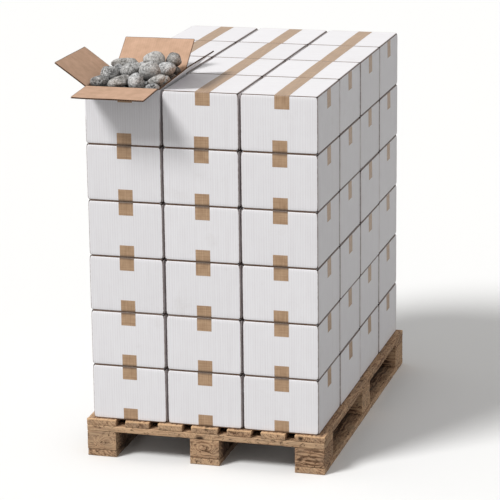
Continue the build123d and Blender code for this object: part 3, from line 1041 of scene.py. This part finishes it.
def makeCobbles():
    stone = makeCobbleStone()
    shape = ball(5)
    parts = newParts()
    solids = sorted(solidsOf("loose_stones"), key=lambda s: tuple(np.round(s[0], 4)))
    highest = max(middle[2] for middle, _, _ in solids)
    for number, (middle, turned, half) in enumerate(solids):
        # the highest settle down between their neighbours
        sunk = cobbles["settle"] * np.interp(highest - middle[2], [10 * mm, 25 * mm], [1, 0])
        addCobble(parts, shape, middle - (0, 0, sunk), turned, half * cobbles["swell"], number)
    makePiece("looseCobbles", parts, [stone], "load", ["loose_stones"], sharpAngle=80)

    # the stones below them fill the carton up to the same heap
    parts = newParts()
    low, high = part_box("stone_fill")
    size = cobbles["fillerSize"] * (high.x - low.x) / 4
    fill = frame["nodes"]["stone_fill"]
    dice = random.Random("filler")
    shape = ball(3)
    columns, rows, levels = cobbles["fillerGrid"]
    for level, i, j in product(range(levels), range(columns), range(rows)):
        half = [dice.uniform(*span) for span in ((0.95, 1.25), (0.85, 1.1), (0.7, 1.0))]
        half = size * np.array(half)
        reach = half.max() + 1 * mm
        x = np.interp((i + 0.5 + dice.uniform(-0.25, 0.25)) / columns, [0, 1], [low.x, high.x])
        y = np.interp((j + 0.5 + dice.uniform(-0.25, 0.25)) / rows, [0, 1], [low.y, high.y])
        x, y = np.clip(x, low.x + reach, high.x - reach), np.clip(y, low.y + reach, high.y - reach)
        hit, place, _, _ = fill.ray_cast(Vector((x, y, high.z + 1)), Vector((0, 0, -1)))
        if not hit:
            continue
        middle = np.array([x, y, place.z + cobbles["fillerRise"] - half.max() - level * 1.5 * size])
        turned = np.array(Matrix.Rotation(dice.uniform(0, math.pi), 3, "Z"))
        seed = f"filler {level} {i} {j}"
        addCobble(parts, shape, middle, turned, half, seed, cobbles["fillerShade"])
    makePiece("lowerCobbles", parts, [stone], "load", ["stone_fill"], sharpAngle=80)
    print("cobbles made")


makeCobbles()


# ---- the pallet's boards and blocks

timber = {
    "easedEdge": 2.4 * mm,
    "step": 9 * mm,         # mesh step along and across a board
    "waviness": 0.7 * mm,
    "chip": 4.5 * mm,       # deepest chip at an edge
    "endRoughness": 1.0 * mm,
    "ringStep": 11 * mm,    # year rings are 3 to 5 mm, drawn coarser so that they show
    "insideShade": 2.0,     # painted shade: how much darker the boards are drawn inside the pallet
    "pale": "#C9A784",
    "tan": "#A48164",
    "brown": "#5A3F2B",
    "knot": "#2A190F",
    "weathered": "#927E69",
    "stain": "#4A3322",
    "rubbedAndLit": "#DDB68C",
    "insideShadeColour": "#24170D",
}


def makePalletPine():
    # sawn pine, used and a little dirty: streaks along the grain, dark knots, paler upper edges that are
    # partly rubbed and partly a painted highlight, and painted shade inside the pallet
    material, add, shader = startMaterial("weatheredPalletPine", 0.85, 0.25)
    marks = add("Attribute", {"attribute_name": "marks"})      # metres along, across and up the board
    uv = add("UVMap", {"uv_map": "boardMap"})                  # u is how near an upper edge, for the rubbed edges and their painted highlight; v the board's shade, with the painted shade inside the pallet
    own = add("SeparateXYZ", links={"Vector": uv})
    drawnOut = add("Mapping", {"Scale": (0.22, 1.0, 1.0)}, {"Vector": marks.outputs["Vector"]})
    spots = add("Mapping", {"Scale": (0.55, 1.0, 1.0)}, {"Vector": marks.outputs["Vector"]})
    knots = add("TexVoronoi", {"Scale": 15.0, "Randomness": 1.0}, {"Vector": spots})
    around = add("MapRange", {"From Min": 0.0, "From Max": 0.5, "To Min": 0.05, "To Max": 0.0,
                              "interpolation_type": "SMOOTHSTEP"}, {"Value": knots})
    swirl = add("TexNoise", {"Scale": 13.0, "Detail": 4.0, "Roughness": 0.55}, {"Vector": drawnOut})
    shift = add("VectorMath", {"operation": "MULTIPLY_ADD", 1: (0.0, 0.05, 0.05)},
                {0: swirl.outputs["Color"], 2: drawnOut})
    bent = add("VectorMath", {"operation": "ADD"}, {0: shift, 1: around})
    rings = add("TexWave", {"wave_type": "RINGS", "rings_direction": "X",
                            "Scale": 0.314 / timber["ringStep"], "Distortion": 9.0, "Detail": 4.0,
                            "Detail Scale": 1.6, "Detail Roughness": 0.65}, {"Vector": bent})
    streakPlace = add("Mapping", {"Scale": (0.06, 1.0, 1.0)}, {"Vector": marks.outputs["Vector"]})
    streaks = add("TexNoise", {"Scale": 130.0, "Detail": 6.0, "Roughness": 0.75}, {"Vector": streakPlace})
    grain = add("Math", {"operation": "MULTIPLY_ADD", 1: 0.3}, {0: rings.outputs["Fac"], 2: streaks})
    lifted = add("Math", {"operation": "MULTIPLY_ADD", 1: 0.28}, {0: own.outputs["Y"], 2: grain})
    tone = add("ValToRGB", {"ramp": [(0.1, timber["insideShadeColour"]), (0.48, timber["brown"]), (0.67, timber["tan"]),
                                     (1.0, timber["pale"])]}, {"Fac": lifted})
    clouds = add("TexNoise", {"Scale": 22.0, "Detail": 6.0, "Roughness": 0.65}, {"Vector": spots})
    greyed = add("MapRange", {"From Min": 0.45, "From Max": 0.7, "To Max": 0.6}, {"Value": clouds})
    weathered = add("Mix", {"data_type": "RGBA", 7: timber["weathered"]}, {0: greyed, 6: tone})
    blots = add("TexNoise", {"Scale": 52.0, "Detail": 7.0, "Roughness": 0.75, "Distortion": 2.2},
                {"Vector": spots})
    blotMask = add("MapRange", {"From Min": 0.545, "From Max": 0.6, "To Max": 0.9}, {"Value": blots})
    stained = add("Mix", {"data_type": "RGBA", 7: timber["stain"]}, {0: blotMask, 6: weathered})
    knotEdge = add("Math", {"operation": "MULTIPLY_ADD", 1: 0.22}, {0: blots, 2: knots})
    knotMask = add("MapRange", {"From Min": 0.16, "From Max": 0.27, "To Min": 0.95, "To Max": 0.0},
                   {"Value": knotEdge})
    knotted = add("Mix", {"data_type": "RGBA", 7: timber["knot"]}, {0: knotMask, 6: stained})
    # rubbed wear and painted highlight: upper edges are drawn paler
    nearEdge = add("MapRange", {"From Min": 0.25, "From Max": 0.9, "To Max": 1.7},
                   {"Value": own.outputs["X"]})
    rubbingAndLight = add("Math", {"operation": "MULTIPLY", "use_clamp": True}, {0: nearEdge, 1: streaks})
    rubbedAndLit = add("Mix", {"data_type": "RGBA", 7: timber["rubbedAndLit"]}, {0: rubbingAndLight, 6: knotted})
    connect(shader, {"Base Color": rubbedAndLit})
    height = add("Math", {"operation": "SUBTRACT"}, {0: grain, 1: knotMask})
    bump = add("Bump", {"Strength": 0.6, "Distance": 0.8 * mm}, {"Height": height})
    connect(shader, {"Normal": bump})
    return material


def makeBoard(node, grainAxis, number, pine):
    palletLow, palletHigh = np.array(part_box("skid_left")[0]), np.array(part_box("deck_board_7")[1])
    low, high = (np.array(corner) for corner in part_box(node))
    half, middle = (high - low) / 2, (high + low) / 2
    edge = timber["easedEdge"]
    near = [0, 0.5 * edge, edge, 2.4 * edge, 4.2 * edge]
    sideStops = []
    for size in half:
        fitting = [n for n in near if n < 0.7 * size]
        inner = max(int((2 * size - 2 * fitting[-1]) / timber["step"]), 1)
        sideStops.append(stops(size, fitting, inner))
    cube, faces, maps, sides = blockGrid(*sideStops)
    core = np.clip(cube, -half + edge, half - edge)
    away = cube - core
    length = np.linalg.norm(away, axis=1, keepdims=True)
    normal = away / np.maximum(length, 1e-9)
    points = core + normal * edge
    gap = half - abs(cube)
    nearest = np.sort(gap, axis=1)
    nearEdge = np.clip(1 - nearest[:, 1] / (9 * mm), 0, 1)
    # painted highlight and wear: edges facing up, most near a deck board's ends, are drawn paler
    facesUp = np.interp(cube[:, 2] / half[2], [-0.2, 0.6], [0.0, 1.0])
    nearEnd = np.interp(gap[:, grainAxis], [10 * mm, 40 * mm], [1.0, 0.3])
    rubbedAndLitEdge = nearEdge * facesUp * (nearEnd if node.startswith("deck") else 0.3)
    onEnd = np.isclose(gap[:, grainAxis], 0)
    dents = np.zeros(len(cube))
    for k, spot in enumerate(points):
        place = Vector(spot) + Vector((number * 3.7, number * 1.3, 0))
        stretch = Vector([c * (9 if a == grainAxis else 26) for a, c in enumerate(place)])
        wave = 0.5 + 0.5 * noise.noise(stretch)
        chip = max(noise.fractal(place * 38, 0.8, 2.0, 3) - 0.28, 0) * nearEdge[k] ** 1.5
        rough = timber["endRoughness"] * (0.5 + 0.5 * noise.noise(place * 170)) if onEnd[k] else 0
        dents[k] = timber["waviness"] * wave + timber["chip"] * chip + rough
    points = points - normal * dents[:, None] + middle
    order = [grainAxis] + [a for a in range(3) if a != grainAxis]
    marks = cube[:, order] + np.array([number * 1.37, number * 0.61 + 0.09, number * 0.83 + 0.05])
    # painted shade: boards inside the pallet, away from its sides and below its top, are drawn darker
    fromSides = np.minimum(cube + middle - palletLow, palletHigh - cube - middle)[:, :2].min(1)
    insideShading = timber["insideShade"] * np.clip((fromSides - 12 * mm) / (50 * mm), 0, 1)
    insideShading *= cube[:, 2] + middle[2] < palletHigh[2] - 1 * mm
    shade = (number * 0.618) % 1.0 - insideShading
    flat = np.stack([rubbedAndLitEdge[faces], shade[faces]], 2)
    parts = newParts()
    addPart(parts, points, faces, flat, 0, marks)
    makePiece("".join(word.capitalize() if i else word for i, word in enumerate(node.split("_"))),
              parts, [pine], "load", [node], sharpAngle=50)


def makePallet():
    pine = makePalletPine()
    rows, columns = ("front", "middle", "back"), ("left", "middle", "right")
    nodes = [f"deck_board_{n}" for n in range(1, 8)]
    nodes += [f"cross_board_{row}" for row in rows]
    nodes += [f"block_{row}_{column}" for row in rows for column in columns]
    nodes += [f"skid_{column}" for column in columns]
    for number, node in enumerate(nodes, start=1):
        grainAxis = 1 if node.startswith(("deck", "skid")) else 0
        makeBoard(node, grainAxis, number, pine)
    print("pallet made")


makePallet()
